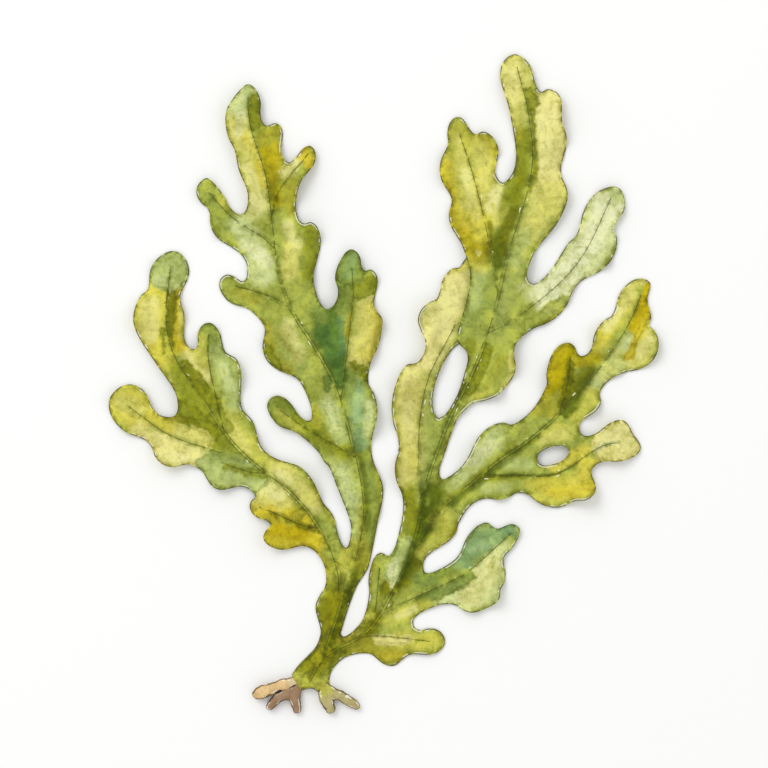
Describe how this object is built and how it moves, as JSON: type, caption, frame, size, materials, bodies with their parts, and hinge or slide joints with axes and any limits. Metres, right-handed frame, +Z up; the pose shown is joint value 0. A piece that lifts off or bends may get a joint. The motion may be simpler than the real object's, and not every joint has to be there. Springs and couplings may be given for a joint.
{
  "type": "seaweed",
  "caption": "Branching wrack seaweed with lobed, midribbed blades on a short stipe and a small clawed holdfast, picked and lying flat.",
  "frame": {"origin": "middle of the bounding box, on the surface that the plant lies on", "axes": "+Y from the holdfast towards the tips of the fronds, +Z up off the surface, +X to the right seen from above"},
  "size_m": [0.25, 0.3006, 0.0082],
  "materials": {
    "blade": "leathery wet blade, mottled from pale straw through olive to teal, darker along its ribs and margins, soft satin",
    "golden_blade": "leathery wet blade, golden ochre fading to pale straw at its end, soft satin",
    "stalk": "firm leathery stalk, olive and slightly streaked along its length",
    "tan_claw": "tough root claw, pale tan with dark broken edges, matt",
    "brown_claw": "tough root claw, brown and streaked, matt",
    "drab_claw": "tough root claw, drab olive tan and streaked, matt"
  },
  "bodies": {
    "root": {"stipe": "stalk", "left_stem": "stalk", "right_stem": "stalk", "right_trunk": "blade", "far_left_frond": "blade", "far_left_side_blade": "blade", "far_left_inner_tip": "blade", "tall_left_frond": "blade", "tall_left_upper_blade": "blade", "tall_left_low_blade": "blade", "tall_left_twin_tip": "blade", "tall_right_frond": "blade", "tall_right_left_tip": "blade", "pale_side_blade": "blade", "inner_blade": "blade", "far_right_frond": "blade", "far_right_side_blade": "golden_blade", "low_right_frond": "blade", "small_low_blade": "blade", "upper_root_claw": "tan_claw", "lower_root_claw": "brown_claw", "right_root_claw": "drab_claw"}
  },
  "joints": []
}
